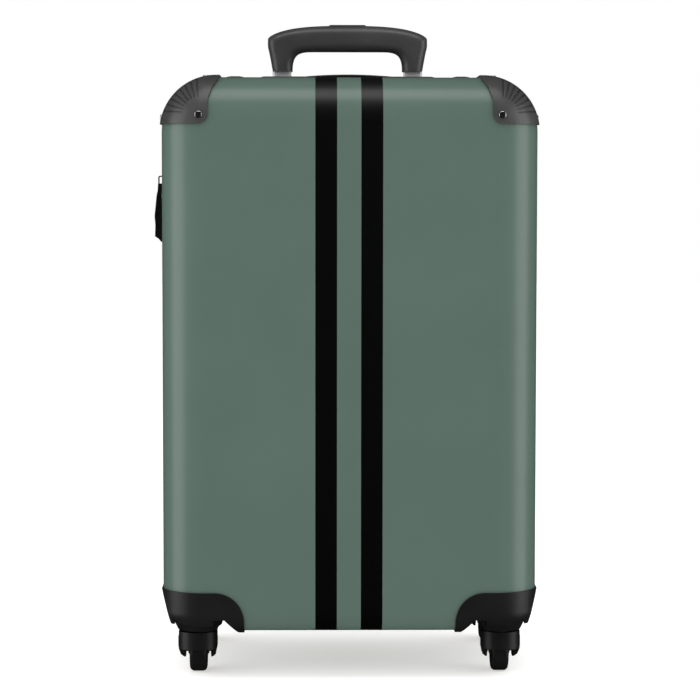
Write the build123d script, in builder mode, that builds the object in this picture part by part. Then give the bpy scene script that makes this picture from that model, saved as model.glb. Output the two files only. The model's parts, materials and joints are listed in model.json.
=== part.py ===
"""Cabin-size hard shell suitcase on four swivel casters.

Row frame in millimetres: origin on the floor under the middle of the case, X across the
case, Y from the front face (-Y) to the back face (+Y), Z up. The two half shells meet at
the plane Y = 0, where a zip runs round three sides and a cloth hinge closes the fourth.
"""

import os
from math import cos, radians, sin

from build123d import *

os.makedirs("parts", exist_ok=True)

# ---- Driving dimensions -------------------------------------------------------------
WIDTH = 344.0  # across the shells
TOP = 550.0  # top of the shells above the floor
BASE = 44.0  # underside of the shells above the floor
DEPTH = 230.0  # front face to back face
WALL = 2.2  # thermoformed shell wall
RIM = 12.0  # distance of each shell's rim from the seam plane
CORNER_R = 50.0  # upper corners, seen from the front
EDGE_R = 40.0  # rounding between a face and its sides and top
BASE_R = 18.0  # rounding between the walls and the underside
SIDE = WIDTH / 2

GUARD_T = 2.2  # corner guard thickness over the shell
GUARD_FOOT = 507.0  # lower edge of a corner guard
GUARD_INNER = 128.4  # inner edge of a corner guard
FAN_CENTRE = (135.4, 515.0)  # where the guard's grooves point, from the middle and the floor
SCREW_R = 3.3  # visible screw heads

CASTER_X = 140.0  # swivel axis of each caster
CASTER_Y = 79.0
HOUSING_TOP = 81.0  # upper edge of a wheel housing
HOUSING_INNER = 96.0  # inner edge of a wheel housing
HOUSING_SEAM = 31.0  # edge of a wheel housing next to the seam
HOUSING_T = 2.0
ROOF = 56.0  # underside of the housing round its neck
SKIRT = 50.0  # lower edge of the housing's outer skirt
BOOT_TOP = 79.0  # top of the corner that the shell leaves to the housing
NECK_Z = 41.4  # underside of the housing's neck, on which the fork turns
WHEEL_R = 20.0
WHEEL_W = 16.0
TRAIL = 16.0  # the wheel's axle behind the swivel axis
PIN_R = 4.0  # swivel pin
AXLE_R = 2.0

TUBE_X = 64.0  # telescopic tubes
TUBE_Y = 84.0
TUBE_FOOT = 58.0
OUTER_TUBE = (24.5, 13.5)
MIDDLE_TUBE = (21.4, 10.4)
INNER_TUBE = (18.4, 7.4)
TUBE_WALL = 1.15
BEZEL_TOP = 557.5
GRIP_FOOT = 562.5
GRIP_TOP = 606.7
GRIP_PARTING = 597.0
GRIP_DEPTH = 30.0
BUTTON = (36.0, 14.0)

HINGE_LOW, HINGE_HIGH = 110.0, 490.0  # ends of the cloth hinge on the right-hand side

STRAP_Y = 38.0  # carry handle, across the top of the back half
STRAP_W = 24.0
RECESS = (238.0, 40.0, 12.0)  # its recess: length, width and depth

CHAIN_GAP = 0.9  # from the seam plane to each row of teeth
SLIDER_UPPER_Z = 455.0
SLIDER_LOWER_Z = 433.0


def save(part, name):
    """Labels a finished piece and writes it as its own file."""
    part.label = name
    export_step(part, f"parts/{name}.step")


def to_back(part):
    """The same piece on the back half."""
    return mirror(part, about=Plane.XZ)


def to_right(part):
    """The same piece on the right-hand side."""
    return mirror(part, about=Plane.YZ)


# ---- The form that the shells, linings and guards share ------------------------------
def half_form(inset, rim=RIM):
    """Front half of the case as a solid, its skin moved inwards by inset."""
    base = BASE + inset
    run_out = 60.0  # the side walls start this far below the underside, then are cut flat
    height = TOP - inset - base + run_out
    with BuildPart() as form:
        with BuildSketch(Plane.XZ.offset(rim)) as outline:
            with Locations((0, base - run_out + height / 2)):
                Rectangle(2 * (SIDE - inset), height)
            fillet(outline.vertices().group_by(Axis.Y)[-1], CORNER_R - inset)
        extrude(amount=DEPTH / 2 - inset - rim)
        face_edges = form.faces().sort_by(Axis.Y)[0].edges()
        fillet(face_edges.sort_by(Axis.Z)[1:], EDGE_R - inset)
        split(bisect_by=Plane.XY.offset(base), keep=Keep.TOP)
        base_edges = form.faces().sort_by(Axis.Z)[0].edges()
        fillet(base_edges.sort_by(Axis.Y)[:-1], BASE_R - inset)
    return form.part


def housing_wedge(offset, roof):
    """Sloping hollow under a wheel housing, from below the case up to the given roof."""
    low = 38.0
    spread = 17.3  # how far the inner edges move outwards between the two levels
    corner = 12.0
    inner_x = HOUSING_INNER + 1.2 - offset
    inner_y = HOUSING_SEAM + 1.2 - offset

    def outside(inner):
        return (inner + 200) / 2, 200 - inner

    with BuildPart() as wedge:
        for level, shift in ((low, 0.0), (roof, spread)):
            mid_x, size_x = outside(inner_x + shift)
            mid_y, size_y = outside(inner_y + shift)
            with BuildSketch(Plane.XY.offset(level)) as section:
                with Locations((-mid_x, -mid_y)):
                    Rectangle(size_x, size_y)
                fillet(section.vertices().sort_by(lambda v: v.X + v.Y)[-1:], corner)
        loft()
    return wedge.part


def wheel_pocket(grow=0.0):
    """Front left corner that the shell leaves to the wheel housing, grown into the case."""
    boot_x, boot_y, boot_top = CASTER_X - 22 - grow, HOUSING_SEAM + 6 - grow, BOOT_TOP + grow
    wedge = housing_wedge(2.0 + grow, ROOF + 2.0 + grow)
    with BuildPart() as pocket:
        add(wedge)
        with BuildSketch(Plane.XY.offset(BASE - 6)):
            with Locations((-(boot_x + 200) / 2, -(boot_y + 200) / 2)):
                Rectangle(200 - boot_x, 200 - boot_y)
        extrude(amount=boot_top - BASE + 6)
    return pocket.part


def handle_recess(grow=0.0):
    """Recess under the carry handle in the top of the back half, grown into the case."""
    length, width, depth = RECESS
    with BuildPart() as recess:
        with BuildSketch(Plane.XY.offset(TOP - depth - grow)):
            with Locations((0, STRAP_Y)):
                RectangleRounded(length + 2 * grow, width + 2 * grow, 6 + grow)
        extrude(amount=depth + grow + 20)
    return recess.part


def front_body(inset, grow, rim=RIM):
    """Front half of the case without its wheel pockets, as a solid."""
    form = half_form(inset, rim)
    pocket = wheel_pocket(grow)
    with BuildPart() as body:
        add(form)
        add(pocket, mode=Mode.SUBTRACT)
        add(to_right(pocket), mode=Mode.SUBTRACT)
    return body.part


# ---- Cross-recessed screws, shared by guards and housings ----------------------------
def screw(seat, length=7.0, head_r=SCREW_R):
    """Pan head screw whose head's seat lies on the given plane, pointing along its normal."""
    head = 2.4
    with BuildPart() as body:
        with BuildSketch(seat):
            Circle(head_r)
        extrude(amount=head)
        rims = body.edges().filter_by(GeomType.CIRCLE)
        fillet(rims.sort_by(lambda rim: seat.to_local_coords(rim.center()).Z)[-1:], 0.9)
        with BuildSketch(seat.offset(head - 0.9)):
            Rectangle(head_r * 1.15, 0.8)
            Rectangle(0.8, head_r * 1.15)
        extrude(amount=2, mode=Mode.SUBTRACT)
        with BuildSketch(seat):
            Circle(1.5)
        extrude(amount=-length)
    return body.part


def screw_hole(seat, length=7.0, head_r=SCREW_R):
    """Room for a screw: its shank, and its head above the seat."""
    with BuildPart() as hole:
        with BuildSketch(seat):
            Circle(1.5)
        extrude(amount=-length)
        with BuildSketch(seat):
            Circle(head_r)
        extrude(amount=8)
    return hole.part


# ---- Corner guards -------------------------------------------------------------------
GUARD_SHANK = 3.1  # ends between the shell and its lining
GUARD_SEATS = (  # front, side and top screws of the front left guard
    Plane((-136.8, -DEPTH / 2 - 0.4, 515), x_dir=(1, 0, 0.35), z_dir=(0, -1, 0)),
    Plane((-SIDE + 0.2, -60, 513), x_dir=(0, 1, 0.3), z_dir=(-1, 0, 0)),
    Plane((-131.6, -60, TOP + 0.1), x_dir=(1, 0.5, 0), z_dir=(0, 0, 1)),
)


def guard_outline(height):
    """Front view of a corner guard, extruded through the case."""
    far = 230.0
    with BuildPart() as prism:
        with BuildSketch(Plane.XZ):
            with BuildLine():
                Polyline(
                    (-far, TOP + 20),
                    (-far, height),
                    (-GUARD_INNER, height),
                    (-GUARD_INNER, height + 23),
                    (-GUARD_INNER + 3.6, height + 33),
                    (-GUARD_INNER + 9, TOP - 2),
                    (-GUARD_INNER + 12, TOP + 20),
                    (-far, TOP + 20),
                )
            make_face()
        extrude(amount=DEPTH)
        inner_corner = prism.edges().filter_by(Axis.Y).group_by(Axis.Z)[0].sort_by(Axis.X)[-1:]
        fillet(inner_corner, 9)
    return prism.part


def groove_fan():
    """Grooves that fan out over a guard's rounded corner."""
    count, first, last = 8, 96.0, 174.0
    centre_x, centre_z = FAN_CENTRE
    inner, reach, width = 16.0, 60.0, 1.8
    with BuildPart() as fan:
        with BuildSketch(Plane.XZ.offset(DEPTH / 2 - 30)):
            for i in range(count):
                angle = first + i * (last - first) / (count - 1)
                middle = inner + reach / 2
                at = (-centre_x + middle * cos(radians(angle)), centre_z + middle * sin(radians(angle)))
                with Locations(Location((at[0], at[1], 0), (0, 0, angle))):
                    SlotOverall(reach, width)
        extrude(amount=40)
    return fan.part


def corner_guard():
    """Front left corner guard."""
    skin = half_form(-GUARD_T, rim=6.0)
    case = half_form(0, rim=0.0)
    outline = guard_outline(GUARD_FOOT)
    grooves = groove_fan() - half_form(1.0 - GUARD_T)
    holes = [screw_hole(seat, GUARD_SHANK) for seat in GUARD_SEATS]
    with BuildPart() as guard:
        add(skin)
        add(outline, mode=Mode.INTERSECT)
        add([case, grooves] + holes, mode=Mode.SUBTRACT)
    return guard.part


front_guard_left = corner_guard()
guard_screws = Part() + [screw(seat, GUARD_SHANK) for seat in GUARD_SEATS]
front_guard_screws = guard_screws + to_right(guard_screws)
save(front_guard_left, "front_guard_left")
save(to_right(front_guard_left), "front_guard_right")
save(to_back(front_guard_left), "back_guard_left")
save(to_back(to_right(front_guard_left)), "back_guard_right")
save(front_guard_screws, "front_guard_screws")
save(to_back(front_guard_screws), "back_guard_screws")


# ---- Wheel housings ------------------------------------------------------------------
HOUSING_SCREWS = ((-150, -99), (-127, -50))  # from inside the case, down into each housing
HOUSING_SEATS = [
    Plane((x, y, BOOT_TOP + WALL), x_dir=(1, 0.6, 0), z_dir=(0, 0, 1)) for x, y in HOUSING_SCREWS
]


def housing_outline():
    """Front left housing before it is hollowed: what its front and side views enclose."""
    far, low = 200.0, 20.0
    taper_x, taper_y = (SIDE + 1, SIDE - 8), (DEPTH / 2 + 4, DEPTH / 2 + 4)

    def view(plane, inner, taper, radius):
        with BuildSketch(plane) as outline:
            with BuildLine():
                Polyline(
                    (-inner, low),
                    (-inner, HOUSING_TOP),
                    (-taper[0], HOUSING_TOP),
                    (-taper[1], SKIRT),
                    (-taper[1], low),
                    (-inner, low),
                )
            make_face()
            fillet(outline.vertices().group_by(Axis.Y)[-1].sort_by(Axis.X)[-1:], radius)
        return outline.sketch

    front = view(Plane.XZ, HOUSING_INNER + 0.5, taper_x, 27)
    side = view(Plane.YZ, HOUSING_SEAM, taper_y, 18)
    with BuildPart() as block:
        extrude(front, amount=far)
        extrude(side, amount=-far, mode=Mode.INTERSECT)
    return block.part


def housing_hollow():
    """Hollow in a housing's underside: round its neck, inside its skirt, open to the front."""
    wedge = housing_wedge(0.0, ROOF)
    with BuildPart() as hollow:
        add(wedge)
        with BuildSketch(Plane.XY.offset(SKIRT)):
            with Locations((100 - CASTER_X - 20.5, 100 - DEPTH / 2 + 11), (100 - CASTER_X + 15, -DEPTH / 2)):
                Rectangle(200, 200)
        extrude(amount=ROOF - SKIRT, mode=Mode.INTERSECT)
    with BuildPart() as low:
        add(wedge)
        split(bisect_by=Plane.XY.offset(SKIRT), keep=Keep.BOTTOM)
        add(hollow.part)
        with Locations((-CASTER_X, -CASTER_Y, (NECK_Z + ROOF) / 2)):
            Cone(17.8, 25.0, ROOF - NECK_Z, mode=Mode.SUBTRACT)
    return low.part


def wheel_housing():
    """Front left wheel housing: a cap over the shell's corner, hollow above and below."""
    floor = ROOF + 4.0
    skin = half_form(-HOUSING_T, rim=HOUSING_SEAM)
    outline = housing_outline()
    case = half_form(0, rim=0.0) - wheel_pocket()
    under = housing_hollow()
    holes = [screw_hole(seat, length=14) for seat in HOUSING_SEATS]
    with BuildPart() as housing:
        add(skin)
        add(outline, mode=Mode.INTERSECT)
        add([case, under], mode=Mode.SUBTRACT)
        with BuildSketch(Plane.XY.offset(floor)):
            with Locations((-142, -73)):
                RectangleRounded(41, 64, 8)
        extrude(amount=40, mode=Mode.SUBTRACT)
        with BuildSketch(Plane.XY.offset(floor)):
            with Locations(*HOUSING_SCREWS):
                Circle(5.0)
        extrude(amount=BOOT_TOP - floor)
        with BuildSketch(Plane.XY.offset(NECK_Z)):
            with Locations((-CASTER_X, -CASTER_Y)):
                Circle(PIN_R + 0.06)
        extrude(amount=30, mode=Mode.SUBTRACT)
        add(holes, mode=Mode.SUBTRACT)
    return housing.part


front_housing_left = wheel_housing()
housing_screws = Part() + [screw(seat, length=12) for seat in HOUSING_SEATS]
front_housing_screws = housing_screws + to_right(housing_screws)
save(front_housing_left, "front_housing_left")
save(to_right(front_housing_left), "front_housing_right")
save(to_back(front_housing_left), "back_housing_left")
save(to_back(to_right(front_housing_left)), "back_housing_right")
save(front_housing_screws, "front_housing_screws")
save(to_back(front_housing_screws), "back_housing_screws")


# ---- Shells and linings --------------------------------------------------------------
def fastener_holes():
    """Holes in the front shell for the screws of its guards and housings."""
    left = Part() + [screw_hole(seat, GUARD_SHANK) for seat in GUARD_SEATS]
    left += [screw_hole(seat, length=14) for seat in HOUSING_SEATS]
    return left + to_right(left)


def tube_sockets(size, low, high, grow=0.0):
    """Upright blocks of a tube's outer shape, one for each telescopic tube."""
    with BuildPart() as blocks:
        with BuildSketch(Plane.XY.offset(low)):
            with Locations((-TUBE_X, TUBE_Y), (TUBE_X, TUBE_Y)):
                RectangleRounded(size[0] + 2 * grow, size[1] + 2 * grow, 3.0 + grow)
        extrude(amount=high - low)
    return blocks.part


def bracket_block(grow=0.0):
    """Block on the case's floor that holds the feet of the outer tubes."""
    with BuildPart() as block:
        with BuildSketch(Plane.XY.offset(BASE + WALL)):
            with Locations((0, TUBE_Y)):
                RectangleRounded(164 + 2 * grow, 18 + 2 * grow, 3 + grow)
        extrude(amount=18 + grow)
    return block.part


screw_holes = fastener_holes()
outer_body = front_body(0.0, 0.0)
inner_body = front_body(WALL, WALL)
with BuildPart() as front_shell:
    add(outer_body)
    add([inner_body, screw_holes], mode=Mode.SUBTRACT)
save(front_shell.part, "front_shell")

with BuildPart() as back_inside:
    add(to_back(inner_body))
    add(handle_recess(WALL), mode=Mode.SUBTRACT)
with BuildPart() as back_shell:
    add(to_back(outer_body))
    add([handle_recess(), back_inside.part, to_back(screw_holes)], mode=Mode.SUBTRACT)
    add(tube_sockets(OUTER_TUBE, TOP - 40, TOP + 10), mode=Mode.SUBTRACT)
save(back_shell.part, "back_shell")

LINING_INSET, LINING_T = 3.4, 1.0
lining_outer = front_body(LINING_INSET, 7.0, rim=RIM + 1)
lining_inner = front_body(LINING_INSET + LINING_T, 8.0, rim=RIM + 1)
with BuildPart() as front_lining:
    add(lining_outer)
    add(lining_inner, mode=Mode.SUBTRACT)
save(front_lining.part, "front_lining")

with BuildPart() as back_lining_inside:
    add(to_back(lining_inner))
    add(handle_recess(WALL + 2.2), mode=Mode.SUBTRACT)
with BuildPart() as back_lining:
    add(to_back(lining_outer))
    add([handle_recess(WALL + 1.2), back_lining_inside.part], mode=Mode.SUBTRACT)
    add([bracket_block(1.0), tube_sockets(OUTER_TUBE, TOP - 40, TOP, grow=1.0)], mode=Mode.SUBTRACT)
save(back_lining.part, "back_lining")

# ---- Telescopic handle ---------------------------------------------------------------
BEZEL = (172.0, 28.0)
GRIP_LEG = (53.6, 72.9)  # inner and outer side of a leg of the grip, at its foot
GRIP_UNDER = 581.7  # underside of the grip, above the hand's gap
GRIP_BEND = 13.0
INNER_FOOT, INNER_HEAD = 72.0, 575.0
CHANNEL_Z = 585.0


def tube_pair(size, low, high):
    """Two upright hollow tubes, open at both ends."""
    with BuildPart() as tubes:
        with BuildSketch(Plane.XY.offset(low)):
            with Locations((-TUBE_X, TUBE_Y), (TUBE_X, TUBE_Y)):
                RectangleRounded(size[0], size[1], 3.0)
                RectangleRounded(size[0] - 2 * TUBE_WALL, size[1] - 2 * TUBE_WALL, 1.9, mode=Mode.SUBTRACT)
        extrude(amount=high - low)
    return tubes.part


save(tube_pair(OUTER_TUBE, TUBE_FOOT, TOP - 4), "outer_tubes")
save(tube_pair(MIDDLE_TUBE, 66, 553.5), "middle_tubes")
save(tube_pair(INNER_TUBE, INNER_FOOT, INNER_HEAD), "inner_tubes")

with BuildPart() as tube_bracket:
    add(bracket_block())
    add(tube_sockets(OUTER_TUBE, TUBE_FOOT, TUBE_FOOT + 20), mode=Mode.SUBTRACT)
save(tube_bracket.part, "tube_bracket")

with BuildPart() as handle_bezel:
    with BuildSketch(Plane.XY.offset(TOP - 12)):
        with Locations((0, TUBE_Y)):
            RectangleRounded(*BEZEL, 9)
    extrude(amount=BEZEL_TOP - TOP + 12)
    fillet(handle_bezel.faces().sort_by(Axis.Z)[-1].edges(), 3.5)
    add(to_back(half_form(0, rim=0.0)), mode=Mode.SUBTRACT)
    with BuildSketch(Plane.XY.offset(TOP - 12)):
        with Locations((-TUBE_X, TUBE_Y), (TUBE_X, TUBE_Y)):
            RectangleRounded(OUTER_TUBE[0] - 2 * TUBE_WALL, OUTER_TUBE[1] - 2 * TUBE_WALL, 1.9)
    extrude(amount=40, mode=Mode.SUBTRACT)
save(handle_bezel.part, "handle_bezel")

with BuildPart() as grip:
    with BuildSketch(Plane.XZ.offset(-TUBE_Y - GRIP_DEPTH / 2)) as grip_outline:
        with BuildLine():
            shoulder = (77.6, 588.0)
            foot_in, foot_out = (GRIP_LEG[0], GRIP_FOOT), (GRIP_LEG[1], GRIP_FOOT)
            lean = (shoulder[0] - foot_out[0], shoulder[1] - foot_out[1])
            crown = (0, GRIP_TOP)
            Spline(shoulder, (73.2, 596.6), (54.5, 602.6), (28.0, 605.9), crown, tangents=(lean, (-1, 0)))
            bend = (GRIP_LEG[0], GRIP_UNDER - GRIP_BEND)
            Polyline(shoulder, foot_out, foot_in, bend)
            bend_end = (GRIP_LEG[0] - GRIP_BEND, GRIP_UNDER)
            JernArc(bend, (0, 1), GRIP_BEND, 90)
            Polyline(bend_end, (0, GRIP_UNDER), crown)
        make_face()
        mirror(about=Plane.YZ)
    extrude(amount=GRIP_DEPTH)
    with BuildSketch(Plane.YZ.offset(-100)):  # side view, rounded along the top
        with Locations((TUBE_Y, GRIP_TOP - 50)):
            RectangleRounded(GRIP_DEPTH, 100, 9)
    extrude(amount=200, mode=Mode.INTERSECT)
    with BuildSketch(Plane.XY.offset(GRIP_FOOT)):  # plan, rounded down the legs
        with Locations((0, TUBE_Y)):
            RectangleRounded(2 * shoulder[0], GRIP_DEPTH, 9)
    extrude(amount=60, mode=Mode.INTERSECT)
    add(tube_sockets(INNER_TUBE, GRIP_FOOT, INNER_HEAD), mode=Mode.SUBTRACT)
    with BuildSketch(Plane.XY.offset(CHANNEL_Z)):
        with Locations((0, TUBE_Y)):
            RectangleRounded(2 * TUBE_X + 8, 8, 3)
    extrude(amount=GRIP_PARTING - CHANNEL_Z, mode=Mode.SUBTRACT)
    with BuildSketch(Plane.XY.offset(INNER_HEAD)):
        with Locations((-TUBE_X, TUBE_Y), (TUBE_X, TUBE_Y)):
            Circle(2.5)
    extrude(amount=CHANNEL_Z - INNER_HEAD, mode=Mode.SUBTRACT)
    with BuildSketch(Plane.XY.offset(GRIP_PARTING - 2.5)):
        with Locations((0, TUBE_Y)):
            RectangleRounded(BUTTON[0] + 0.8, BUTTON[1] + 0.8, 4)
    extrude(amount=30, mode=Mode.SUBTRACT)

with BuildPart() as grip_body:
    add(grip.part)
    split(bisect_by=Plane.XY.offset(GRIP_PARTING), keep=Keep.BOTTOM)
save(grip_body.part, "grip_body")

with BuildPart() as grip_cover:
    add(grip.part)
    split(bisect_by=Plane.XY.offset(GRIP_PARTING), keep=Keep.TOP)
save(grip_cover.part, "grip_cover")

with BuildPart() as release_button:
    with BuildSketch(Plane.XY.offset(GRIP_PARTING + 1.0)):
        with Locations((0, TUBE_Y)):
            RectangleRounded(*BUTTON, 3.6)
    extrude(amount=GRIP_TOP + 1.0 - GRIP_PARTING - 1.0)
    fillet(release_button.faces().sort_by(Axis.Z)[-1].edges(), 1.2)
save(release_button.part, "release_button")

with BuildPart() as release_rods:
    with BuildSketch(Plane.XY.offset(CHANNEL_Z + 3.5)):
        with Locations((0, TUBE_Y)):
            SlotOverall(2 * TUBE_X + 5, 5)
    extrude(amount=4)
    with BuildSketch(Plane.XY.offset(CHANNEL_Z + 7.5)):
        with Locations((0, TUBE_Y)):
            Rectangle(10, 5)
    extrude(amount=GRIP_PARTING + 1.0 - CHANNEL_Z - 7.5)
    with BuildSketch(Plane.XY.offset(80)):
        with Locations((-TUBE_X, TUBE_Y), (TUBE_X, TUBE_Y)):
            Circle(1.5)
    extrude(amount=CHANNEL_Z + 3.5 - 80)
save(release_rods.part, "release_rods")

# ---- Carry handle --------------------------------------------------------------------
CAP_INNER, CAP_OUTER = 98.0, 118.2
STRAP_T = 4.0
strap_half = 106.0
with BuildPart() as carry_strap:
    with BuildSketch(Plane.XZ.offset(-STRAP_Y - STRAP_W / 2)):
        with BuildLine():
            ThreePointArc((-strap_half, 545), (0, 557.3), (strap_half, 545))
            Line((strap_half, 545), (strap_half, 545 - STRAP_T))
            ThreePointArc((strap_half, 545 - STRAP_T), (0, 557.3 - STRAP_T), (-strap_half, 545 - STRAP_T))
            Line((-strap_half, 545 - STRAP_T), (-strap_half, 545))
        make_face()
    extrude(amount=STRAP_W)
    fillet(carry_strap.edges().filter_by(GeomType.CIRCLE), 1.4)
save(carry_strap.part, "carry_strap")

with BuildPart() as strap_cap:
    with BuildSketch(Plane.XY.offset(TOP - RECESS[2])):
        with Locations((-(CAP_INNER + CAP_OUTER) / 2, STRAP_Y)):
            RectangleRounded(CAP_OUTER - CAP_INNER, STRAP_W + 6, 5)
    extrude(amount=17.4)
    fillet(strap_cap.faces().sort_by(Axis.Z)[-1].edges(), 1.2)
    with Locations((-CAP_INNER - 4, STRAP_Y, 545.4)):
        Box(16, STRAP_W + 1, 11.6, mode=Mode.SUBTRACT)
save(Part() + [strap_cap.part, to_right(strap_cap.part)], "strap_caps")

# ---- Casters -------------------------------------------------------------------------
FORK_R = 18.3
ARM_INNER = 11.8
FORK_TOP = NECK_Z - 0.4


def fork():
    """Fork under the front left housing, its wheel trailing towards the back."""
    swivel = (-CASTER_X, -CASTER_Y)
    with BuildPart() as body:
        with BuildSketch(Plane.XY.offset(14)):  # plan
            with Locations(swivel):
                Circle(FORK_R)
            with Locations((swivel[0], swivel[1] + TRAIL / 2)):
                RectangleRounded(2 * FORK_R - 1.6, TRAIL + 12, 5)
        extrude(amount=FORK_TOP - 14)
        with BuildSketch(Plane.YZ.offset(-CASTER_X + FORK_R + 2)) as side:
            with BuildLine():
                Polyline(
                    (swivel[1] - 19, FORK_TOP),
                    (swivel[1] - 19, 24.8),
                    (swivel[1] - 6, 24.8),
                    (swivel[1] + 8, 14.2),
                    (swivel[1] + TRAIL + 6, 14.2),
                    (swivel[1] + TRAIL + 6, 27),
                    (swivel[1] + 18.6, 36),
                    (swivel[1] + 18.6, FORK_TOP),
                    (swivel[1] - 19, FORK_TOP),
                )
            make_face()
            fillet(side.vertices().group_by(Axis.Y)[0], 5)
        extrude(amount=-2 * FORK_R - 4, mode=Mode.INTERSECT)
        with BuildSketch(Plane.XZ.offset(CASTER_Y + 30)):
            with BuildLine():
                outer = [(17.6, FORK_TOP), (17.6, 36.4), (FORK_R, 35.6), (FORK_R, 28), (16.2, 17.5), (12.8, 14)]
                right = [(swivel[0] + x, z) for x, z in outer]
                left = [(swivel[0] - x, z) for x, z in reversed(outer)]
                Polyline(*right, *left, close=True)
            make_face()
        extrude(amount=-70, mode=Mode.INTERSECT)
        with Locations((swivel[0], swivel[1], 14 + 5.4)):
            Box(2 * ARM_INNER, 80, 10.8, mode=Mode.SUBTRACT)
        with Locations(Location((swivel[0], swivel[1] + TRAIL, WHEEL_R), (0, 90, 0))):
            Cylinder(WHEEL_R + 0.6, WHEEL_W + 1.6, mode=Mode.SUBTRACT)
            Cylinder(AXLE_R, 60, mode=Mode.SUBTRACT)
        with Locations((swivel[0], swivel[1] + 20.0, 30)):
            Box(WHEEL_W + 1.6, 24, 30, mode=Mode.SUBTRACT)
        with Locations((*swivel, 40)):
            Cylinder(PIN_R, 20, mode=Mode.SUBTRACT)
    return body.part


def caster_pins():
    """Swivel pin with its retaining head, and the wheel's axle, both held by the fork."""
    with BuildPart() as pins:
        with BuildSketch(Plane.XY.offset(37.5)):
            with Locations((-CASTER_X, -CASTER_Y)):
                Circle(PIN_R)
        extrude(amount=23.0)
        with BuildSketch(Plane.XY.offset(60.5)):
            with Locations((-CASTER_X, -CASTER_Y)):
                Circle(7)
        extrude(amount=3)
        with Locations(Location((-CASTER_X, -CASTER_Y + TRAIL, WHEEL_R), (0, 90, 0))):
            Cylinder(AXLE_R, 2 * 16.0)
    return pins.part


def wheel_turned(points, round_r):
    """Turns a half profile (distance from the axle, place along it) about the wheel's axle."""
    axle = Plane((-CASTER_X, -CASTER_Y + TRAIL, WHEEL_R), x_dir=(0, 0, 1), z_dir=(0, -1, 0))
    with BuildPart() as body:
        with BuildSketch(axle) as profile:
            with BuildLine():
                Polyline(*points, close=True)
            make_face()
            if round_r:
                fillet(profile.vertices().group_by(Axis.X)[-1], round_r)
        revolve(axis=Axis(axle.origin, axle.y_dir))
    return body.part


def tyre():
    """Solid tyre with rounded shoulders."""
    half = WHEEL_W / 2
    return wheel_turned([(13, -half), (WHEEL_R, -half), (WHEEL_R, half), (13, half)], 4.0)


def hub():
    """Dished wheel centre with bosses that space it from the fork's arms."""
    boss, bore, web = 9.6, AXLE_R + 0.05, 3.0
    half = WHEEL_W / 2 - 0.6
    right = [(bore, boss), (4.2, boss), (5.0, web), (10.2, web), (11.0, half), (13, half)]
    left = [(r, -x) for r, x in reversed(right)]
    return wheel_turned(right + left, 0)


def at_each_corner(part, name):
    """Writes a front left piece and its three copies; every wheel trails towards the back."""
    across, along = 2 * CASTER_X, 2 * CASTER_Y
    save(part, f"front_left_{name}")
    save(Pos(across, 0, 0) * part, f"front_right_{name}")
    save(Pos(0, along, 0) * part, f"back_left_{name}")
    save(Pos(across, along, 0) * part, f"back_right_{name}")


at_each_corner(fork(), "fork")
at_each_corner(caster_pins(), "pins")
at_each_corner(tyre(), "tyre")
at_each_corner(hub(), "hub")

# ---- Zip -----------------------------------------------------------------------------
TAPE_T = 0.8
CHAIN_OUT, CHAIN_IN = 0.7, WALL
CHAIN_W = 2.5


def rim_ring(outer, inner, near, far):
    """Ring that follows the shell's rim, between two insets and two distances from the seam."""
    def section(inset):
        low, high = BASE + inset, TOP - inset
        with BuildSketch(Plane.XZ.offset(near)) as face:
            with Locations((0, (low + high) / 2)):
                Rectangle(2 * (SIDE - inset), high - low)
            fillet(face.vertices().group_by(Axis.Y)[-1], CORNER_R - inset)
            fillet(face.vertices().group_by(Axis.Y)[0], BASE_R - inset)
        return face.sketch

    outer_face, inner_face = section(outer), section(inner)
    with BuildPart() as ring:
        extrude(outer_face, amount=far - near)
        extrude(inner_face, amount=far - near, mode=Mode.SUBTRACT)
    return ring.part


front_tape = rim_ring(WALL, WALL + TAPE_T, CHAIN_GAP, RIM + 3)
save(front_tape, "front_zip_tape")
save(to_back(front_tape), "back_zip_tape")

front_chain = rim_ring(CHAIN_OUT, CHAIN_IN, CHAIN_GAP, CHAIN_GAP + CHAIN_W)
hinge_span = Pos(SIDE, 0, (HINGE_LOW + HINGE_HIGH) / 2) * Box(20, 40, HINGE_HIGH - HINGE_LOW + 10)
front_chain -= hinge_span
save(front_chain, "front_zip_chain")
save(to_back(front_chain), "back_zip_chain")

with BuildPart() as hinge_cloth:
    with Locations((SIDE - 1.2, (0.6 + RIM - 0.4) / 2, (HINGE_LOW + HINGE_HIGH) / 2)):
        Box(1.2, RIM - 1.0, HINGE_HIGH - HINGE_LOW)
save(hinge_cloth.part, "hinge_cloth")


def slider(height, bail_low, bail_high, bail_x):
    """Zip slider on the left side: plates, post and the loop that its puller hangs from."""
    length, plate_x = 13.0, SIDE - 0.4
    loop_x = SIDE + 1.2
    loop_w, loop_h = bail_x - loop_x, bail_high - bail_low
    with BuildPart() as body:
        with BuildSketch(Plane.YZ.offset(-plate_x)):
            with Locations((0, height)):
                SlotOverall(length, 8.4, rotation=90)
        extrude(amount=-2.0)
        fillet(body.faces().sort_by(Axis.X)[0].edges(), 0.8)
        with Locations((2.4 - plate_x, 0, height)):
            Box(5.0, 1.2, 6)
        with Locations((4.1 - SIDE, 2.6, height)):
            Box(1.0, 6.4, length - 1)
        with Locations((1.0 - SIDE, 4.0, height)):
            Box(1.9, 0.5, length - 2)
        with BuildSketch(Plane.XZ.offset(-1.1)):
            with Locations((-loop_x - loop_w / 2, bail_low + loop_h / 2)):
                RectangleRounded(loop_w, loop_h, 1.9)
                RectangleRounded(loop_w - 2.4, loop_h - 2.4, 0.7, mode=Mode.SUBTRACT)
        extrude(amount=2.2)
    return body.part


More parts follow.
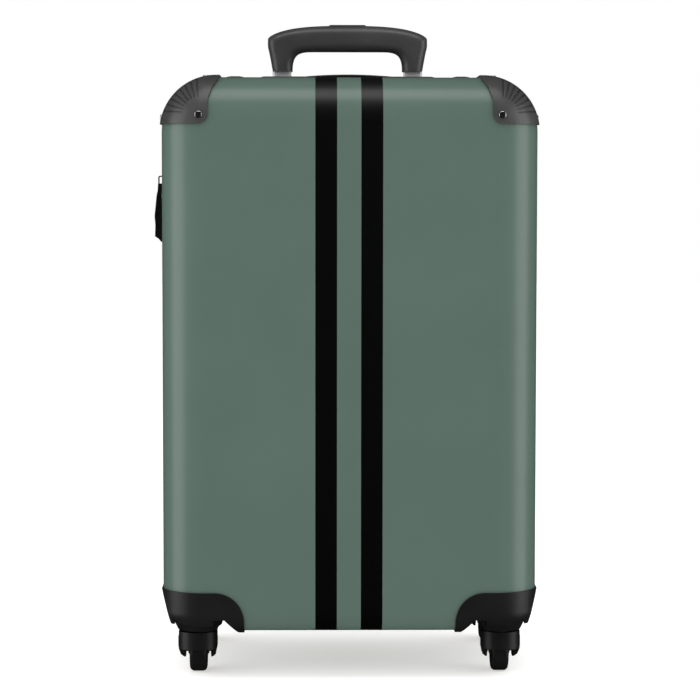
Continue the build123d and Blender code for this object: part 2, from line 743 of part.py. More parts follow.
def puller(bail_low, bail_x, side, blade):
    """Flat puller beside its slider's loop, with a pin through the loop's lower corner."""
    thick, near, pin_r = 2.6, 1.5, 0.65
    pivot = (-bail_x + 2.15, bail_low + 2.15)
    pin_from, pin_to = -1.4, near + 1.0
    with BuildPart() as body:
        with BuildSketch(Plane.XZ.offset(near if side < 0 else -near - thick)):
            with BuildLine():
                Polyline(*[(pivot[0] + x, pivot[1] + z) for x, z in blade], close=True)
            make_face()
        extrude(amount=thick)
        fillet(body.edges().filter_by(Axis.Y), 0.8)
        with Locations(Location((pivot[0], side * (pin_from + pin_to) / 2, pivot[1]), (90, 0, 0))):
            Cylinder(pin_r, pin_to - pin_from)
    return body.part


UPPER_BAIL = (449.0, 460.5, 180.0)
LOWER_BAIL = (430.0, 440.5, 177.4)
UPPER_BLADE = [
    (-2.2, 2.0), (1.8, 2.0), (2.2, -3), (1.2, -8), (1.4, -32), (3.2, -40), (2.4, -49),
    (-0.6, -51), (-5.2, -48), (-4.9, -37), (-5.6, -29), (-3.6, -9), (-2.6, -5),
]
LOWER_BLADE = [
    (-1.9, 1.7), (0.9, 1.7), (0.9, -25), (0.5, -33), (-2.2, -34.5), (-5.0, -31), (-5.0, -12), (-2.6, -4),
]
save(slider(SLIDER_UPPER_Z, *UPPER_BAIL), "slider_upper")
save(slider(SLIDER_LOWER_Z, *LOWER_BAIL), "slider_lower")
save(puller(UPPER_BAIL[0], UPPER_BAIL[2], -1, UPPER_BLADE), "puller_upper")
save(puller(LOWER_BAIL[0], LOWER_BAIL[2], 1, LOWER_BLADE), "puller_lower")

# ---- Interior ------------------------------------------------------------------------
COVER_Y, COVER_T = 71.0, 1.5


def cover_prism(foot_x, top_x, level):
    """Trapezoid that stands on the face of the front half, extruded up the case."""
    with BuildPart() as prism:
        with BuildSketch():
            with BuildLine():
                Polyline((-foot_x, -DEPTH / 2), (-top_x, -level), (top_x, -level), (foot_x, -DEPTH / 2), close=True)
            make_face()
        extrude(amount=TOP)
    return prism.part


cover_outside, cover_inside = cover_prism(100, 86, COVER_Y), cover_prism(98, 85, COVER_Y + COVER_T)
with BuildPart() as tube_cover:
    add(lining_inner)
    add(cover_outside, mode=Mode.INTERSECT)
    add(cover_inside, mode=Mode.SUBTRACT)
save(to_back(tube_cover.part), "tube_cover")

BUCKLE = (56.0, 44.0)
BUCKLE_Z = 300.0
with BuildPart() as packing_straps:
    with BuildSketch(Plane.XZ.offset(-17.4)):
        for lean in (-1, 1):
            with Locations(Location((0, BUCKLE_Z, 0), (0, 0, lean * 45))):
                Rectangle(455, 25)
        with Locations((0, BUCKLE_Z)):
            Rectangle(333, 400, mode=Mode.INTERSECT)
            Rectangle(*BUCKLE, mode=Mode.SUBTRACT)
    extrude(amount=1.4)
save(packing_straps.part, "packing_straps")

with BuildPart() as strap_buckle:
    with BuildSketch(Plane.XZ.offset(-20)):
        with Locations((0, BUCKLE_Z)):
            Rectangle(*BUCKLE)
            with Locations((-BUCKLE[0] / 4 - 2, 0), (BUCKLE[0] / 4 + 2, 0)):
                Rectangle(5, BUCKLE[1] - 16, mode=Mode.SUBTRACT)
    extrude(amount=6)
    fillet(strap_buckle.edges().filter_by(Axis.Y).group_by(Axis.Z)[0], 6)
    fillet(strap_buckle.edges().filter_by(Axis.Y).group_by(Axis.Z)[-1], 6)
save(strap_buckle.part, "strap_buckle")

with BuildPart() as mesh_pocket:
    with BuildSketch(Plane.XZ.offset(105.8)):
        with Locations((0, 280)):
            RectangleRounded(250, 300, 20)
    extrude(amount=1.2)
save(mesh_pocket.part, "mesh_pocket")
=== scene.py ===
"""Looks of the hard shell suitcase: materials, zip teeth, cloth pieces, studio and camera."""
import json
from math import cos, hypot, pi, radians, sin

import bpy
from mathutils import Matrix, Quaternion, Vector


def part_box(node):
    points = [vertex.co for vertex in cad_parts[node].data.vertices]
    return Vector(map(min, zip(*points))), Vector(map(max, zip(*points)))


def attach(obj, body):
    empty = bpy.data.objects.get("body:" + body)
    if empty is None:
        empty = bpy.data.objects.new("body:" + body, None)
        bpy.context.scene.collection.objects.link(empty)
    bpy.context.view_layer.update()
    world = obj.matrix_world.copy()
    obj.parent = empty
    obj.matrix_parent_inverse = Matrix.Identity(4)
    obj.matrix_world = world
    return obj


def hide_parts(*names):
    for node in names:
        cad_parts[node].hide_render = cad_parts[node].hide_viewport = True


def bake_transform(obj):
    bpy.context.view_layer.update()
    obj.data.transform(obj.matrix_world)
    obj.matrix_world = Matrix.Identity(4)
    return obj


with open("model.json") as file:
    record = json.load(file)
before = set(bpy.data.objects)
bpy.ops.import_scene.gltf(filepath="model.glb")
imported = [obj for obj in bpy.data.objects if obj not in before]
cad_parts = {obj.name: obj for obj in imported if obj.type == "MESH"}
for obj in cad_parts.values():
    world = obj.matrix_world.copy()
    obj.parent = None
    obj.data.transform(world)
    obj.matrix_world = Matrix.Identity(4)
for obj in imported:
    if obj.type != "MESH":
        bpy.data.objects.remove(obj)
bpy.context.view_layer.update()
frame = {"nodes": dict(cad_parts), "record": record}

nodes = frame["nodes"]

# ---- Places taken from the frame, in metres --------------------------------------------
shell_low, shell_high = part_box("front_shell")
SIDE = shell_high.x
TOP = shell_high.z
BASE = shell_low.z
RIM = -shell_high.y
FACE = -shell_low.y
CORNER_R, BASE_R = 0.050, 0.018  # of the shells' outline, seen from the front
chain_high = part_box("back_zip_chain")[1]
hinge_low, hinge_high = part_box("hinge_cloth")


# ---- Node helpers ----------------------------------------------------------------------
class Shader:
    """A material under construction, with short names for the nodes that are used often."""

    def __init__(self, name, roughness=0.5, metallic=0.0, coat=0.0, sheen=0.0):
        self.material = bpy.data.materials.new(name)
        self.material.use_nodes = True
        self.tree = self.material.node_tree
        self.bsdf = self.tree.nodes["Principled BSDF"]
        self.bsdf.inputs["Roughness"].default_value = roughness
        self.bsdf.inputs["Metallic"].default_value = metallic
        self.bsdf.inputs["Coat Weight"].default_value = coat
        self.bsdf.inputs["Sheen Weight"].default_value = sheen
        self.place = self.add("ShaderNodeTexCoord").outputs["Object"]

    def add(self, kind, **settings):
        node = self.tree.nodes.new(kind)
        for key, value in settings.items():
            setattr(node, key, value)
        return node

    def link(self, source, target):
        self.tree.links.new(source, target)

    def noise(self, scale, detail=4.0, rough=0.55, stretch=(1, 1, 1)):
        mapping = self.add("ShaderNodeMapping")
        mapping.inputs["Scale"].default_value = stretch
        self.link(self.place, mapping.inputs["Vector"])
        node = self.add("ShaderNodeTexNoise")
        node.inputs["Scale"].default_value = scale
        node.inputs["Detail"].default_value = detail
        node.inputs["Roughness"].default_value = rough
        self.link(mapping.outputs["Vector"], node.inputs["Vector"])
        return node.outputs["Fac"]

    def wave(self, scale, direction, distortion=0.0):
        node = self.add("ShaderNodeTexWave", bands_direction=direction)
        node.inputs["Scale"].default_value = scale
        node.inputs["Distortion"].default_value = distortion
        self.link(self.place, node.inputs["Vector"])
        return node.outputs["Fac"]

    def math(self, operation, a, b=None):
        node = self.add("ShaderNodeMath", operation=operation)
        for socket, value in zip(node.inputs, (a, b)):
            if value is None:
                continue
            if isinstance(value, (int, float)):
                socket.default_value = value
            else:
                self.link(value, socket)
        return node.outputs[0]

    def ramp(self, factor, stops):
        node = self.add("ShaderNodeValToRGB")
        elements = node.color_ramp.elements
        while len(elements) < len(stops):
            elements.new(0.5)
        for element, (position, colour) in zip(elements, stops):
            element.position = position
            element.color = (*colour, 1)
        self.link(factor, node.inputs["Fac"])
        return node.outputs["Color"]

    def span(self, factor, low, high):
        node = self.add("ShaderNodeMapRange")
        node.inputs["To Min"].default_value = low
        node.inputs["To Max"].default_value = high
        self.link(factor, node.inputs["Value"])
        return node.outputs["Result"]

    def mix(self, factor, a, b):
        node = self.add("ShaderNodeMix", data_type="RGBA")
        sockets = node.inputs[0], node.inputs[6], node.inputs[7]
        for socket, value in zip(sockets, (factor, a, b)):
            if isinstance(value, tuple):
                socket.default_value = (*value, 1)
            else:
                self.link(value, socket)
        return node.outputs[2]

    def colour(self, source):
        self.link(source, self.bsdf.inputs["Base Color"])

    def roughness(self, source):
        self.link(source, self.bsdf.inputs["Roughness"])

    def bump(self, height, strength, distance):
        node = self.add("ShaderNodeBump")
        node.inputs["Strength"].default_value = strength
        node.inputs["Distance"].default_value = distance
        self.link(height, node.inputs["Height"])
        if self.bsdf.inputs["Normal"].is_linked:
            self.link(self.bsdf.inputs["Normal"].links[0].from_socket, node.inputs["Normal"])
        self.link(node.outputs["Normal"], self.bsdf.inputs["Normal"])


# ---- Materials -------------------------------------------------------------------------
GREEN = (0.0705, 0.1135, 0.0925)
STRIPE_X, STRIPE_HALF, STRIPE_SHIFT = 0.02075, 0.00985, -0.0010


def shell_material():
    """Glossy green sheet with two black printed stripes that run over the top and the base."""
    s = Shader("shell", roughness=0.3, coat=0.08)
    s.bsdf.inputs["Coat Roughness"].default_value = 0.2
    across = s.add("ShaderNodeSeparateXYZ")
    s.link(s.place, across.inputs[0])
    from_middle = s.math("ABSOLUTE", s.math("SUBTRACT", across.outputs["X"], STRIPE_SHIFT))
    from_stripe = s.math("ABSOLUTE", s.math("SUBTRACT", from_middle, STRIPE_X))
    stripe = s.math("LESS_THAN", from_stripe, STRIPE_HALF)
    low, high = [tuple(c * k for c in GREEN) for k in (0.975, 1.025)]
    green = s.ramp(s.noise(9, 3), ((0.35, low), (0.65, high)))
    s.colour(s.mix(stripe, green, (0.0006, 0.0006, 0.0007)))
    gloss = s.span(s.noise(60, 5), 0.30, 0.38)
    s.roughness(s.math("ADD", gloss, s.math("MULTIPLY", stripe, 0.08)))
    s.bump(s.noise(260, 2), 0.05, 0.0003)
    s.bump(s.noise(14, 2), 0.04, 0.0015)
    return s.material


def moulded_material(name, shade, rough, grain=1400, strength=0.18, coat=0.0):
    """Black moulded plastic with a fine eroded grain."""
    s = Shader(name, roughness=rough, coat=coat)
    s.bsdf.inputs["Coat Roughness"].default_value = 0.2
    s.colour(s.ramp(s.noise(24, 4), ((0.3, (shade * 0.8,) * 3), (0.7, (shade * 1.25,) * 3))))
    s.roughness(s.span(s.noise(70, 4), rough - 0.05, rough + 0.06))
    s.bump(s.noise(grain, 3, 0.7), strength, 0.0003)
    return s.material


def rubber_material(name, shade, rough):
    """Black rubber with dust in its pores."""
    s = Shader(name, roughness=rough)
    s.colour(s.ramp(s.noise(90, 6, 0.7), ((0.35, (shade,) * 3), (0.75, (shade * 1.9,) * 3))))
    s.roughness(s.span(s.noise(40, 4), rough - 0.06, rough + 0.08))
    s.bump(s.noise(900, 4, 0.7), 0.2, 0.0003)
    return s.material


def metal_material(name, colour, rough, stretch=(1, 1, 0.02), line_scale=2500, metallic=1.0):
    """Metal with fine drawn lines."""
    s = Shader(name, roughness=rough, metallic=metallic)
    lines = s.noise(line_scale, 2, 0.6, stretch)
    dark = tuple(c * 0.9 for c in colour)
    s.colour(s.ramp(lines, ((0.3, dark), (0.7, colour))))
    s.roughness(s.span(lines, rough - 0.06, rough + 0.08))
    s.bump(lines, 0.12, 0.0001)
    return s.material


def weave_material(name, light, dark, pitch=0.0009, rough=0.85, sheen=0.35, lustre=0.5):
    """Plain-woven cloth: warp and weft threads of the given pitch in metres, in uneven yarn, with
    painted shade in the hollows between the threads.
    """
    s = Shader(name, roughness=rough, sheen=sheen)
    s.bsdf.inputs["Sheen Roughness"].default_value = lustre
    scale = 2 * pi / 20 / pitch
    across, depth, rise = (s.wave(scale, axis, 0.3) for axis in "XYZ")
    threads = s.math("MULTIPLY", s.math("ADD", s.math("ADD", across, depth), rise), 0.333)
    yarn = s.math("MULTIPLY", s.noise(600, 4, 0.7), 0.6)
    height = s.math("ADD", threads, yarn)
    # Painted shade: the colour follows the thread relief, darker in the hollows between threads and
    # lighter on their crowns; the yarn noise adds uneven yarn tone.
    s.colour(s.ramp(height, ((0.45, dark), (0.95, light))))
    s.bump(height, 0.5, 0.0002)
    s.bump(s.noise(30, 3), 0.35, 0.004)
    return s.material


def cloth_mesh_material():
    """Open mesh cloth: round holes drawn as dark pits of painted shade in a sheer black knit."""
    s = Shader("mesh_cloth", roughness=0.8, sheen=0.3)
    cells = s.add("ShaderNodeTexVoronoi", feature="F1")
    cells.inputs["Scale"].default_value = 330
    cells.inputs["Randomness"].default_value = 0.15
    s.link(s.place, cells.inputs["Vector"])
    # Painted shade: near black in the holes, the knit around them at its own dark tone.
    s.colour(s.ramp(cells.outputs["Distance"], ((0.25, (0.003,) * 3), (0.55, (0.045,) * 3))))
    s.bump(cells.outputs["Distance"], 0.8, 0.0006)
    return s.material


MATERIALS = {
    "shell_plastic": shell_material(),
    "black_plastic": moulded_material("black_plastic", 0.037, 0.38, strength=0.12, coat=0.1),
    "button_plastic": moulded_material("button_plastic", 0.010, 0.25, strength=0.06),
    "hub_plastic": moulded_material("hub_plastic", 0.012, 0.42),
    "screw_steel": metal_material("screw_steel", (0.75, 0.75, 0.74), 0.22),
    "tyre_rubber": rubber_material("tyre_rubber", 0.005, 0.5),
    "strap_rubber": rubber_material("strap_rubber", 0.005, 0.22),
    "tube_aluminium": metal_material("tube_aluminium", (0.80, 0.79, 0.80), 0.35, metallic=0.25),
    "zip_metal": metal_material("zip_metal", (0.12, 0.12, 0.125), 0.3, (1, 1, 1), 400),
    "zip_chain": moulded_material("zip_chain", 0.012, 0.35, strength=0.08),
    "zip_tape_cloth": weave_material("zip_tape_cloth", (0.030,) * 3, (0.009,) * 3, 0.0006),
    "lining_cloth": weave_material("lining_cloth", (0.062, 0.064, 0.068), (0.028, 0.029, 0.031), 0.0008),
    "mesh_cloth": cloth_mesh_material(),
    "webbing": weave_material("webbing", (0.028,) * 3, (0.008,) * 3, 0.0016),
}

# Darker copy of the black plastic for the caster forks and housings: painted shade, as these parts sit
# low down and get less light from above.
CASTER_PLASTIC_PAINTED_SHADE = moulded_material("caster_plastic_painted_shade", 0.007, 0.42, strength=0.12)

for subpart in frame["record"]["subparts"]:
    cad = nodes[subpart["node"]]
    # Black-plastic parts low down (forks, housings) take the darker copy with the painted shade.
    low_down = subpart["node"].endswith("_fork") or "_housing_" in subpart["node"]
    takes_painted_shade = subpart["material_slot"] == "black_plastic" and low_down
    cad.data.materials.clear()
    cad.data.materials.append(CASTER_PLASTIC_PAINTED_SHADE if takes_painted_shade else MATERIALS[subpart["material_slot"]])


# ---- Making pieces ---------------------------------------------------------------------
def make_piece(name, vertices, faces, slot, body=None, smooth=True):
    """Links a new mesh piece with its slot's material, riding on a body."""
    mesh = bpy.data.meshes.new(name)
    mesh.from_pydata([tuple(v) for v in vertices], [], faces)
    mesh.validate()
    if smooth:
        for polygon in mesh.polygons:
            polygon.use_smooth = True
    mesh.materials.append(MATERIALS[slot])
    piece = bpy.data.objects.new(name, mesh)
    bpy.context.scene.collection.objects.link(piece)
    if body:
        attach(piece, body)
    return piece


def rim_path(inset, step, start, end):
    """Points with outward normals along the case's front outline, from one to the other end.

    The path starts on the right-hand side above the hinge, runs over the top, down the left
    side, and along the base to the right-hand side below the hinge.
    """
    half, high, low = SIDE - inset, TOP - inset, BASE + inset
    top_r, base_r = CORNER_R - inset, BASE_R - inset
    stretches = [
        ("line", (half, start), (half, high - top_r)),
        ("arc", (half - top_r, high - top_r), top_r, 0, 90),
        ("line", (half - top_r, high), (-half + top_r, high)),
        ("arc", (-half + top_r, high - top_r), top_r, 90, 180),
        ("line", (-half, high - top_r), (-half, low + base_r)),
        ("arc", (-half + base_r, low + base_r), base_r, 180, 270),
        ("line", (-half + base_r, low), (half - base_r, low)),
        ("arc", (half - base_r, low + base_r), base_r, 270, 360),
        ("line", (half, low + base_r), (half, end)),
    ]
    points = []
    carried = 0.0
    for stretch in stretches:
        if stretch[0] == "line":
            (x0, z0), (x1, z1) = stretch[1:]
            length = hypot(x1 - x0, z1 - z0)
            dx, dz = (x1 - x0) / length, (z1 - z0) / length
            at = carried
            while at < length:
                points.append(((x0 + dx * at, z0 + dz * at), (dz, -dx)))
                at += step
        else:
            (cx, cz), r, a0, a1 = stretch[1:]
            length = r * radians(a1 - a0)
            at = carried
            while at < length:
                a = radians(a0) + at / r
                points.append(((cx + r * cos(a), cz + r * sin(a)), (cos(a), sin(a))))
                at += step
        carried = at - length
    return points


# ---- Zip teeth -------------------------------------------------------------------------
def zip_teeth(half, sign):
    """Row of coil teeth on one rim: rounded loops across the tape's edge."""
    pitch, near, far = 0.0018, 0.0007, chain_high.y
    low, high = 0.0, 0.0014
    inset = 0.0022  # of the teeth's feet, on the tape
    clear = 0.006  # between the last tooth and the hinge
    vertices, faces = [], []
    loop = [(-0.00055, low), (-0.00045, high * 0.75), (0, high), (0.00045, high * 0.75), (0.00055, low)]
    stations = ((near, 0.55), (near + 0.0003, 1.0), (far - 0.0004, 1.0), (far, 0.6))
    path = rim_path(inset, pitch, hinge_high.z + clear, hinge_low.z - clear)
    for index, ((x, z), (nx, nz)) in enumerate(path):
        base = len(vertices)
        shift = 0.5 * pitch if sign > 0 else 0.0
        tx, tz = -nz, nx
        for y, size in stations:
            for along, out in loop:
                u, v = along * size + shift, out * size
                vertices.append((x + tx * u + nx * v, sign * y, z + tz * u + nz * v))
        ring = len(loop)
        for i in range(len(stations) - 1):
            for j in range(ring):
                k = (j + 1) % ring
                a, b = base + i * ring + j, base + i * ring + k
                faces.append((a, b, b + ring, a + ring) if sign > 0 else (a, a + ring, b + ring, b))
        cap_near = tuple(base + j for j in range(ring))
        cap_far = tuple(base + (len(stations) - 1) * ring + j for j in range(ring))
        faces.append(cap_near[::-1] if sign > 0 else cap_near)
        faces.append(cap_far if sign > 0 else cap_far[::-1])
    piece = make_piece(f"{half}_zip_teeth", vertices, faces, "zip_chain", f"{half}_half")
    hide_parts(f"{half}_zip_chain")
    return piece


zip_teeth("front", -1)
zip_teeth("back", 1)


# ---- Cloth hinge -----------------------------------------------------------------------
def cloth_hinge():
    """Cloth strip from rim to rim on the right-hand side, hemmed."""
    height = hinge_high.z - hinge_low.z
    width = 2 * hinge_high.y
    rows, columns = 48, 24
    vertices, faces = [], []
    for side in (0, 1):
        for i in range(columns + 1):
            t = i / columns
            y = hinge_high.y - width * t
            hem = 0.0004 if t < 0.14 or t > 0.86 else 0.0
            sag = 0.0011 * sin(pi * t)
            for j in range(rows + 1):
                z = hinge_low.z + height * j / rows
                x = hinge_low.x + 0.0004 - sag + (0.0007 + hem if side else 0)
                vertices.append((x, y, z))
    layer = (columns + 1) * (rows + 1)
    for i in range(columns):
        for j in range(rows):
            a = i * (rows + 1) + j
            b, c, d = a + 1, a + rows + 2, a + rows + 1
            faces.append((a, d, c, b))
            faces.append((a + layer, b + layer, c + layer, d + layer))
    edge = [i * (rows + 1) for i in range(columns + 1)]
    edge += [columns * (rows + 1) + j for j in range(1, rows + 1)]
    edge += [i * (rows + 1) + rows for i in range(columns - 1, -1, -1)]
    edge += [j for j in range(rows - 1, 0, -1)]
    for a, b in zip(edge, edge[1:] + edge[:1]):
        faces.append((a, b, b + layer, a + layer))
    piece = make_piece("hinge_cloth_strip", vertices, faces, "zip_tape_cloth")
    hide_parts("hinge_cloth")
    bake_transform(piece)


cloth_hinge()


# ---- Grip of the telescopic handle -----------------------------------------------------
def blend_points(points, count):
    """Even steps along a smooth open curve through the given points."""
    curve = bpy.data.curves.new("guide", "CURVE")
    curve.dimensions = "3D"
    spline = curve.splines.new("NURBS")
    spline.points.add(len(points) - 1)
    for at, (x, z) in zip(spline.points, points):
        at.co = (x, 0, z, 1)
    spline.order_u = 4
    spline.use_endpoint_u = True
    spline.resolution_u = 12
    holder = bpy.data.objects.new("guide", curve)
    mesh = bpy.data.meshes.new_from_object(holder)
    fine = [(v.co.x, v.co.z) for v in mesh.vertices]
    bpy.data.objects.remove(holder)
    bpy.data.curves.remove(curve)
    bpy.data.meshes.remove(mesh)
    lengths = [0.0]
    for (x0, z0), (x1, z1) in zip(fine, fine[1:]):
        lengths.append(lengths[-1] + hypot(x1 - x0, z1 - z0))
    steps, at = [], 0
    for i in range(count):
        want = lengths[-1] * i / (count - 1)
        while at < len(fine) - 2 and lengths[at + 1] < want:
            at += 1
        t = (want - lengths[at]) / (lengths[at + 1] - lengths[at])
        steps.append(tuple(a + (b - a) * t for a, b in zip(fine[at], fine[at + 1])))
    return steps


def grip():
    """Moulded grip: a rounded bar whose legs run down to the tubes, with the button's pocket."""
    grip_low, grip_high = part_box("grip_body")
    button_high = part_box("release_button")[1]
    half, low, top = grip_high.x, grip_low.z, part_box("grip_cover")[1].z
    depth = (grip_high.y - grip_low.y) / 2
    middle_y = (grip_high.y + grip_low.y) / 2
    gap, pocket_depth, edge_r = 0.0004, 0.0098, 0.0095
    outer = [(0.0729, low), (0.0747, low + 0.010), (0.0768, low + 0.022), (0.0800, 0.5925)]
    outer += [(0.0735, 0.5985), (0.0560, 0.6040), (0.0300, 0.6066), (0.0100, top), (0.0, top)]
    inner = [(0.0536, low), (0.0536, low + 0.003), (0.0533, low + 0.010), (0.0495, 0.5795)]
    inner += [(0.0415, 0.5817), (0.0330, 0.5817), (0.0150, 0.5817), (0.0, 0.5817)]
    count = 46
    right = list(zip(blend_points(outer, count), blend_points(inner, count)))
    pocket = button_high.x + gap
    stations = []
    for (ox, oz), (ix, iz) in right:
        stations.append(((min(ox, half), oz), (ix, iz), ox < pocket))
    stations += [((-ox, oz), (-ix, iz), sunk) for (ox, oz), (ix, iz), sunk in stations[-2::-1]]
    slot_y = button_high.y - middle_y + gap
    vertices, faces, ring = [], [], 0
    for (ox, oz), (ix, iz), sunk in stations:
        span = hypot(ox - ix, oz - iz)
        ux, uz = (ox - ix) / span, (oz - iz) / span
        r = min(edge_r, span * 0.44)
        section = []
        for cy, cu, start in ((1, 1, 0), (-1, 1, 90), (-1, -1, 180), (1, -1, 270)):
            for k in range(7):
                a = radians(start + k * 15)
                y = cy * (depth - r) + r * cos(a)
                u = (span - r if cu > 0 else r) + r * sin(a)
                section.append((y, u))
            if start == 0:
                sole = span - (pocket_depth if sunk else 0.0)
                section += [(slot_y, span), (slot_y, sole), (-slot_y, sole), (-slot_y, span)]
        ring = len(section)
        for y, u in section:
            vertices.append((ix + ux * u, middle_y + y, iz + uz * u))
    for i in range(len(stations) - 1):
        for j in range(ring):
            k = (j + 1) % ring
            a, b = i * ring + j, i * ring + k
            faces.append((a, a + ring, b + ring, b))
    faces.append(tuple(range(ring)))
    last = (len(stations) - 1) * ring
    faces.append(tuple(range(last + ring - 1, last - 1, -1)))
    piece = make_piece("grip", vertices, faces, "black_plastic", "handle_grip")
    piece.data.set_sharp_from_angle(angle=radians(50))
    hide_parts("grip_body", "grip_cover")


grip()


# ---- Carry handle's end caps -----------------------------------------------------------
def strap_caps():
    """Moulded caps that hold the ends of the carry strap, crowned over the strap."""
    low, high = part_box("strap_caps")
    middle_y, half_y = (low.y + high.y) / 2, (high.y - low.y) / 2
    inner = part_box("carry_strap")[1].x - 0.008
    vertices, faces = [], []
    crown = ((0.0015, 0.0), (0.0036, 0.0008), (0.0050, 0.0026), (0.0056, 0.006))  # rise, shrink
    levels = [(low.z, 0.0)] + [(TOP + rise, shrink) for rise, shrink in crown]
    corner, per = 0.005, 6
    for side in (-1, 1):
        base = len(vertices)
        for z, shrink in levels:
            x0, x1, hy = inner + shrink, high.x - shrink, half_y - shrink
            r = max(corner - shrink, 0.0006)
            right, left, back = x1 - r, x0 + r, hy - r
            corners = ((right, back, 0), (left, back, 90), (left, -back, 180), (right, -back, 270))
            for cx, cy, start in corners:
                for k in range(per):
                    a = radians(start + 90 * k / (per - 1))
                    vertices.append((side * (cx + r * cos(a)), middle_y + cy + r * sin(a), z))
        ring = 4 * per
        for i in range(len(levels) - 1):
            for j in range(ring):
                k = (j + 1) % ring
                a, b = base + i * ring + j, base + i * ring + k
                faces.append((a, b, b + ring, a + ring) if side > 0 else (a, a + ring, b + ring, b))
        top = tuple(base + (len(levels) - 1) * ring + j for j in range(ring))
        foot = tuple(base + j for j in range(ring))
        faces.append(top if side > 0 else top[::-1])
        faces.append(foot[::-1] if side > 0 else foot)
    piece = make_piece("strap_end_caps", vertices, faces, "black_plastic", "back_half")
    piece.data.set_sharp_from_angle(angle=radians(40))
    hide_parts("strap_caps")


# ---- Inside of the case ----------------------------------------------------------------
def packing_straps():
    """Two crossed elastic webbing straps: thick ribbed edges, stitched ends at the lining."""
    low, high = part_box("packing_straps")
    buckle_low, buckle_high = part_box("strap_buckle")
    middle_z = (buckle_low.z + buckle_high.z) / 2
    y = (low.y + high.y) / 2
    reach, half = high.x - 0.002, 0.0125
    start = buckle_high.x * 0.62
    edge = [(1.0, 0.0), (0.97, 0.5), (0.86, 0.62), (0.8, 0.42)]  # across, thickness
    profile = [(-v, t) for v, t in edge] + edge[::-1]
    profile += [(v, -t) for v, t in profile[-2:0:-1]]
    vertices, faces = [], []
    for sx in (-1, 1):
        for sz in (-1, 1):
            base, rows = len(vertices), 40
            for i in range(rows + 1):
                along = start + (reach - start) * i / rows
                dip = 0.0016 * sin(pi * i / rows)
                ripple = 0.0003 * sin(along * 900)
                for v, t in profile:
                    shift = v * half / 2 ** 0.5
                    x = sx * (along - shift)
                    z = middle_z + sz * (along + shift)
                    vertices.append((x, y + dip + t * 0.0011 + ripple, z))
            ring = len(profile)
            for i in range(rows):
                for j in range(ring):
                    k = (j + 1) % ring
                    a, b = base + i * ring + j, base + i * ring + k
                    face = (a, b, b + ring, a + ring)
                    faces.append(face if sx * sz < 0 else face[::-1])
            near = tuple(base + j for j in range(ring))
            far = tuple(base + rows * ring + j for j in range(ring))
            faces += [near[::-1], far] if sx * sz < 0 else [near, far[::-1]]
    piece = make_piece("packing_webbing", vertices, faces, "webbing", "back_half")
    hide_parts("packing_straps")


def mesh_pocket():
    """Flat mesh pocket on the front half's lining, bound all round, with an elastic top hem."""
    low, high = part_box("mesh_pocket")
    half, bottom, top = high.x, low.z, high.z
    middle_z, half_z = (bottom + top) / 2, (top - bottom) / 2
    y = (low.y + high.y) / 2
    columns, rows = 60, 70
    vertices, faces = [], []
    for side in (0, 1):
        for i in range(columns + 1):
            u = -1 + 2 * i / columns
            for j in range(rows + 1):
                v = -1 + 2 * j / rows
                squeeze = 1 - 0.035 * (u * v) ** 8
                pleat = 0.0010 * sin(u * 46) * max(0.0, v - 0.2) * (1 - abs(u) ** 6)
                bulge = 0.0022 * (1 - u ** 4) * (1 - v ** 4)
                hem = 0.0006 if v > 0.92 or abs(u) > 0.95 or v < -0.96 else 0.0
                lift = bulge + pleat
                vertices.append((u * half * squeeze, y + lift + (0.0006 + hem if side else -0.0003),
                                 middle_z + v * half_z * squeeze))
    layer = (columns + 1) * (rows + 1)
    for i in range(columns):
        for j in range(rows):
            a = i * (rows + 1) + j
            b, c, d = a + 1, a + rows + 2, a + rows + 1
            faces.append((a, d, c, b))
            faces.append((a + layer, b + layer, c + layer, d + layer))
    edge = [i * (rows + 1) for i in range(columns + 1)]
    edge += [columns * (rows + 1) + j for j in range(1, rows + 1)]
    edge += [i * (rows + 1) + rows for i in range(columns - 1, -1, -1)]
    edge += [j for j in range(rows - 1, 0, -1)]
    for a, b in zip(edge, edge[1:] + edge[:1]):
        faces.append((a, a + layer, b + layer, b))
    piece = make_piece("mesh_pocket_panel", vertices, faces, "mesh_cloth", "front_half")
    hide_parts("mesh_pocket")


strap_caps()
packing_straps()
mesh_pocket()


# ---- Studio and camera -----------------------------------------------------------------
CAMERA_BACK = 2.2  # in front of the case's face
CAMERA_AT = Vector((-0.034, -FACE - CAMERA_BACK, 0.450))
AIM = Vector((-0.0002, -FACE, 0.3029))
ROLL = radians(0.06)
FOCAL_PIXELS = 2438.0


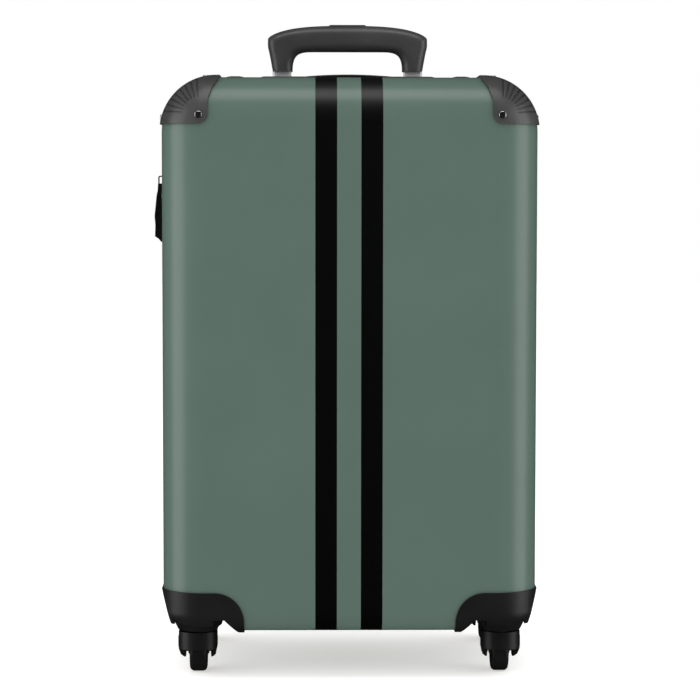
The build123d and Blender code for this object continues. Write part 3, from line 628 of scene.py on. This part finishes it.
def studio():
    """White sweep, even white sky, hidden fill lights, and three broad softboxes at the edges."""
    sweep = make_floor()
    sweep.visible_glossy = False
    bpy.context.scene.view_settings.view_transform = "Standard"
    world = bpy.data.worlds.new("studio")
    bpy.context.scene.world = world
    world.use_nodes = True
    tree = world.node_tree
    background = tree.nodes["Background"]
    background.inputs["Color"].default_value = (1, 1, 1, 1)
    rays = tree.nodes.new("ShaderNodeLightPath")
    dim = tree.nodes.new("ShaderNodeMapRange")  # the sky is bright, and dim in reflections
    dim.inputs["To Min"].default_value = 1.0
    dim.inputs["To Max"].default_value = 0.012
    tree.links.new(rays.outputs["Is Glossy Ray"], dim.inputs["Value"])
    seen = tree.nodes.new("ShaderNodeMix")
    tree.links.new(rays.outputs["Is Camera Ray"], seen.inputs[0])
    tree.links.new(dim.outputs["Result"], seen.inputs[2])
    seen.inputs[3].default_value = 1.0
    tree.links.new(seen.outputs[0], background.inputs["Strength"])

    def soft_light(name, at, aim, size, power, glossy=True):
        light = bpy.data.lights.new(name, "AREA")
        light.shape = "RECTANGLE"
        light.size, light.size_y = size
        light.energy = power
        holder = bpy.data.objects.new(name, light)
        holder.location = at
        holder.rotation_euler = (Vector(aim) - Vector(at)).to_track_quat("-Z", "Y").to_euler()
        holder.visible_glossy = glossy
        holder.visible_camera = False
        bpy.context.scene.collection.objects.link(holder)

    soft_light("fill_front", (-0.8, -2.6, 1.7), (0, 0, 0.3), (1.4, 1.4), 12, glossy=False)
    soft_light("left_box", (-1.25, -0.35, 0.45), (0, -0.1, 0.3), (0.8, 1.5), 7)
    soft_light("right_box", (1.25, -0.35, 0.45), (0, -0.1, 0.3), (0.8, 1.5), 7)
    soft_light("overhead", (0, -0.45, 1.75), (0, -0.1, 0.4), (1.6, 0.7), 8)


def make_floor():
    """Pale floor that glows a little, so that shadows on it stay light."""
    mesh = bpy.data.meshes.new("floor")
    corners = [(-6, -1.2, 0), (6, -1.2, 0), (6, 9, 0), (-6, 9, 0)]
    mesh.from_pydata(corners, [], [(0, 1, 2, 3)])
    s = Shader("floor", roughness=0.6)
    s.colour(s.ramp(s.noise(3, 2), ((0.3, (0.78,) * 3), (0.7, (0.81,) * 3))))
    s.bsdf.inputs["Emission Color"].default_value = (1.0, 0.985, 0.955, 1)
    s.bsdf.inputs["Emission Strength"].default_value = 0.5
    mesh.materials.append(s.material)
    sweep = bpy.data.objects.new("floor", mesh)
    bpy.context.scene.collection.objects.link(sweep)
    return sweep


def camera():
    """Camera at the viewing angle of the picture that the case was rebuilt from."""
    data = bpy.data.cameras.new("camera")
    data.sensor_width = 36.0
    data.lens = data.sensor_width * FOCAL_PIXELS / 700
    holder = bpy.data.objects.new("camera", data)
    holder.location = CAMERA_AT
    level = (AIM - CAMERA_AT).to_track_quat("-Z", "Y")
    holder.rotation_euler = (level @ Quaternion((0, 0, 1), ROLL)).to_euler()
    bpy.context.scene.collection.objects.link(holder)
    bpy.context.scene.camera = holder


studio()
camera()
